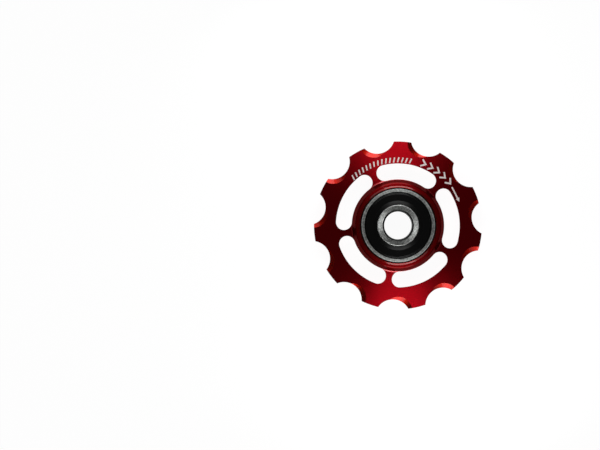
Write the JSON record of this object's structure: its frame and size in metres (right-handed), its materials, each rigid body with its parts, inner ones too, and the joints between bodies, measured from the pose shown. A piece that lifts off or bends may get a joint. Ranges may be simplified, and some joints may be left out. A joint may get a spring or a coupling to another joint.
{
  "type": "derailleur jockey wheel",
  "caption": "Toothed pulley wheel with curved slots and one-sided tooth bevels, turning on a sealed ball bearing that a bolt clamps between the plates of a bicycle derailleur cage.",
  "frame": {"origin": "on the bore's axis, at the middle of the bearing's width", "axes": "+Z along the axis, out of the marked and bevelled face; +X and +Y lie in the wheel's plane, with one spoke and one gullet together 27.8 degrees clockwise of +X"},
  "size_m": [0.0421, 0.042, 0.0066],
  "materials": {
    "red_anodised": "red anodised over a finely turned face",
    "ring_steel": "ground and oiled",
    "seal_rubber": "moulded satin black",
    "washer_steel": "rolled sheet",
    "cage_steel": "pressed sheet",
    "ball_steel": "polished",
    "print_white": "thin screen print"
  },
  "bodies": {
    "inner_ring": {"bearing_inner_ring": "ring_steel"},
    "wheel": {"pulley_wheel": "red_anodised", "bearing_outer_ring": "ring_steel", "seal_rubber_front": "seal_rubber", "seal_rubber_back": "seal_rubber", "seal_core_front": "washer_steel", "seal_core_back": "washer_steel"},
    "cage": {"cage_half_front": "cage_steel", "cage_half_back": "cage_steel", "cage_rivet_1": "cage_steel", "cage_rivet_2": "cage_steel", "cage_rivet_3": "cage_steel", "cage_rivet_4": "cage_steel", "cage_rivet_5": "cage_steel", "cage_rivet_6": "cage_steel", "cage_rivet_7": "cage_steel"},
    "ball_1": {"ball_1": "ball_steel"},
    "ball_2": {"ball_2": "ball_steel"},
    "ball_3": {"ball_3": "ball_steel"},
    "ball_4": {"ball_4": "ball_steel"},
    "ball_5": {"ball_5": "ball_steel"},
    "ball_6": {"ball_6": "ball_steel"},
    "ball_7": {"ball_7": "ball_steel"}
  },
  "joints": [
    {"name": "wheel_spin", "type": "hinge", "parent": "inner_ring", "child": "wheel", "pos_m": [0, 0, 0], "axis": [0, 0, 1], "continuous": true},
    {"name": "cage_orbit", "type": "hinge", "parent": "inner_ring", "child": "cage", "pos_m": [0, 0, 0], "axis": [0, 0, 1], "continuous": true},
    {"name": "ball_1_spin", "type": "hinge", "parent": "cage", "child": "ball_1", "pos_m": [0.0065, 0, 0], "axis": [0, 0, 1], "continuous": true},
    {"name": "ball_2_spin", "type": "hinge", "parent": "cage", "child": "ball_2", "pos_m": [0.00405, 0.00508, 0], "axis": [0, 0, 1], "continuous": true},
    {"name": "ball_3_spin", "type": "hinge", "parent": "cage", "child": "ball_3", "pos_m": [-0.00145, 0.00634, 0], "axis": [0, 0, 1], "continuous": true},
    {"name": "ball_4_spin", "type": "hinge", "parent": "cage", "child": "ball_4", "pos_m": [-0.00586, 0.00282, 0], "axis": [0, 0, 1], "continuous": true},
    {"name": "ball_5_spin", "type": "hinge", "parent": "cage", "child": "ball_5", "pos_m": [-0.00586, -0.00282, 0], "axis": [0, 0, 1], "continuous": true},
    {"name": "ball_6_spin", "type": "hinge", "parent": "cage", "child": "ball_6", "pos_m": [-0.00145, -0.00634, 0], "axis": [0, 0, 1], "continuous": true},
    {"name": "ball_7_spin", "type": "hinge", "parent": "cage", "child": "ball_7", "pos_m": [0.00405, -0.00508, 0], "axis": [0, 0, 1], "continuous": true}
  ],
  "couplings": [
    {"joint": "cage_orbit", "follows": "wheel_spin", "ratio": 0.65265},
    {"joint": "ball_1_spin", "follows": "wheel_spin", "ratio": 1.485},
    {"joint": "ball_2_spin", "follows": "wheel_spin", "ratio": 1.485},
    {"joint": "ball_3_spin", "follows": "wheel_spin", "ratio": 1.485},
    {"joint": "ball_4_spin", "follows": "wheel_spin", "ratio": 1.485},
    {"joint": "ball_5_spin", "follows": "wheel_spin", "ratio": 1.485},
    {"joint": "ball_6_spin", "follows": "wheel_spin", "ratio": 1.485},
    {"joint": "ball_7_spin", "follows": "wheel_spin", "ratio": 1.485}
  ]
}
